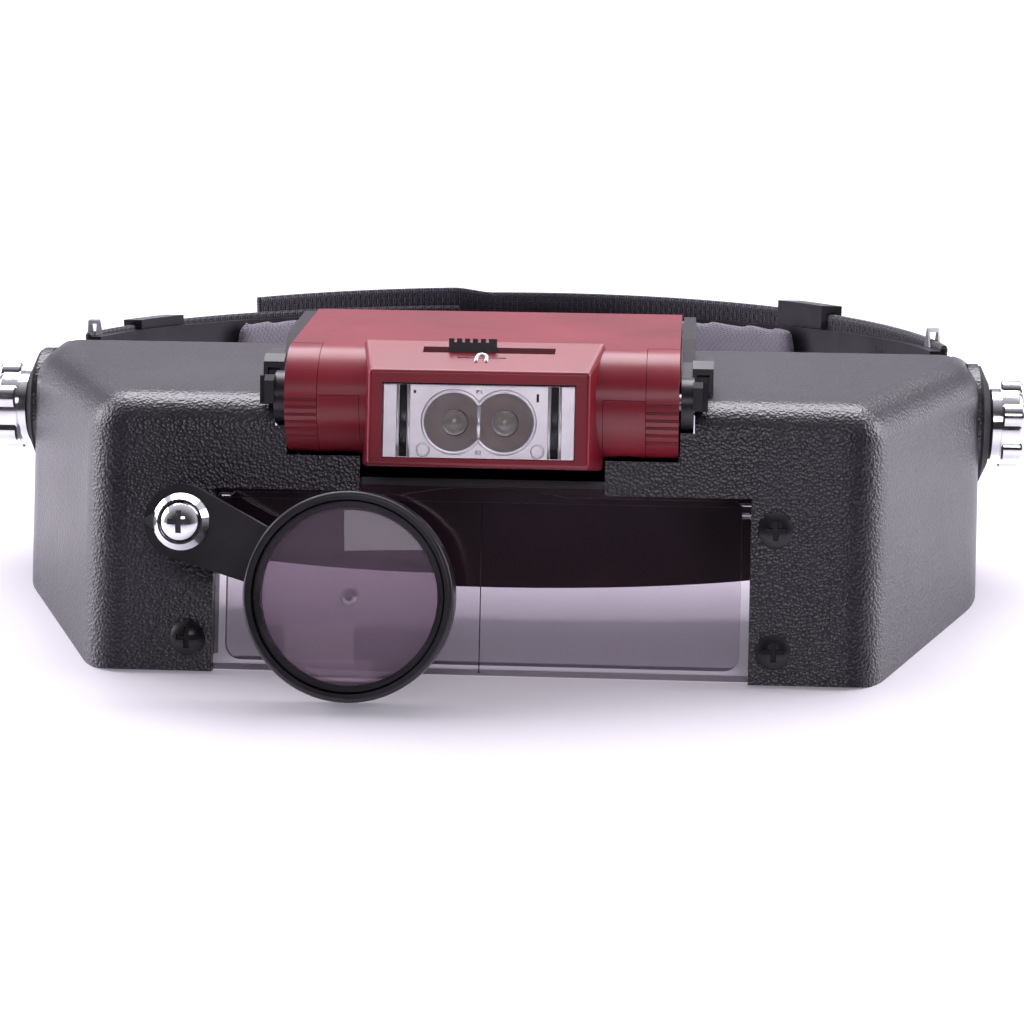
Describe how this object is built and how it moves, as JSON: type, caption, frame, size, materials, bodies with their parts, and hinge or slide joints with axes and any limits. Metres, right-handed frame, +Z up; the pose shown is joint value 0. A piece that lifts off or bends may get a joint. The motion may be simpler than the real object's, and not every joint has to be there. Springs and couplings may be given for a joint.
{
  "type": "head visor magnifier",
  "caption": "Head-worn visor magnifier with wide main lens, flip-down lens, swinging round loupe, tilting battery lamp and padded adjustable headband.",
  "frame": {"origin": "middle of the footprint on the table", "axes": "+X across the head, to the wearer's left, +Y to the rear of the head, +Z up; the visor faces -Y"},
  "size_m": [0.2162, 0.2326, 0.0629],
  "materials": {
    "visor_plastic": "fine leather grain",
    "lens_clear": "clear polished acrylic",
    "black_plastic": "satin",
    "screw_black": "black oxide",
    "steel": "bright zinc",
    "chrome": "polished",
    "rubber": "matt",
    "lamp_red": "satin moulded",
    "reflector": "vacuum metallised",
    "led": "epoxy lens",
    "circuit_board": "solder mask",
    "cell": "printed sleeve, plain",
    "band_plastic": "satin dark maroon",
    "pad_leatherette": "soft leatherette",
    "pad_grey": "grey cloth on foam",
    "webbing": "woven elastic strap"
  },
  "bodies": {
    "headband": {"forehead_band": "band_plastic", "forehead_pad": "pad_leatherette", "rear_arm_right": "black_plastic", "rear_arm_left": "black_plastic", "rear_pad": "pad_grey", "rear_strap": "webbing", "short_strap": "webbing", "strap_keeper_right": "black_plastic", "strap_keeper_left": "black_plastic", "strap_clips": "steel", "strap_rivets": "steel", "pivot_bolt_right": "steel", "pivot_bolt_left": "steel", "band_spacer_right": "black_plastic", "band_spacer_left": "black_plastic"},
    "visor": {"visor_shell": "visor_plastic", "main_lens": "lens_clear", "lens_retainer_right": "black_plastic", "lens_retainer_left": "black_plastic", "lens_screws": "screw_black", "lens_nuts": "steel", "lamp_bracket": "black_plastic", "bracket_screws": "screw_black", "lamp_pivot_pins": "steel", "friction_washer_right": "rubber", "friction_washer_left": "rubber"},
    "flip_lens": {"flip_lens": "lens_clear"},
    "loupe": {"loupe_frame": "black_plastic", "loupe_lens": "lens_clear", "loupe_retaining_ring": "black_plastic", "loupe_spacer": "black_plastic", "loupe_cup_washer": "chrome", "loupe_pivot_screw": "chrome", "loupe_nut": "steel"},
    "lamp": {"lamp_lower_tray": "lamp_red", "lamp_upper_cover": "lamp_red", "lamp_screws": "screw_black", "battery_cap_right": "lamp_red", "battery_cap_left": "lamp_red", "lamp_reflector": "reflector", "lamp_leds": "led", "lamp_window": "lens_clear", "lamp_board": "circuit_board", "batteries": "cell", "battery_contacts": "steel", "switch_body": "black_plastic"},
    "switch": {"switch_slider": "black_plastic"},
    "knob_right": {"knob_right": "chrome"},
    "knob_left": {"knob_left": "chrome"}
  },
  "joints": [
    {"name": "visor_tilt", "type": "hinge", "parent": "headband", "child": "visor", "pos_m": [0, -0.0226, 0.03102], "axis": [-1, 0, 0], "range_deg": [-16, 65]},
    {"name": "flip_lens_swing", "type": "hinge", "parent": "visor", "child": "flip_lens", "pos_m": [0, -0.07957, 0.02913], "axis": [1, 0, 0], "range_deg": [0, 35]},
    {"name": "loupe_swing", "type": "hinge", "parent": "visor", "child": "loupe", "pos_m": [-0.0545, -0.09979, 0.03128], "axis": [0, -0.9511, 0.309], "range_deg": [-150, 0]},
    {"name": "lamp_tilt", "type": "hinge", "parent": "visor", "child": "lamp", "pos_m": [0, -0.07853, 0.04982], "axis": [1, 0, 0], "range_deg": [0, 25]},
    {"name": "switch_slide", "type": "slide", "parent": "lamp", "child": "switch", "axis": [1, 0, 0], "range_m": [-0.0045, 0.007]},
    {"name": "knob_right_turn", "type": "hinge", "parent": "headband", "child": "knob_right", "pos_m": [0.105, -0.0226, 0.03102], "axis": [1, 0, 0], "range_deg": [0, 360]},
    {"name": "knob_left_turn", "type": "hinge", "parent": "headband", "child": "knob_left", "pos_m": [-0.105, -0.0226, 0.03102], "axis": [-1, 0, 0], "range_deg": [0, 360]}
  ]
}
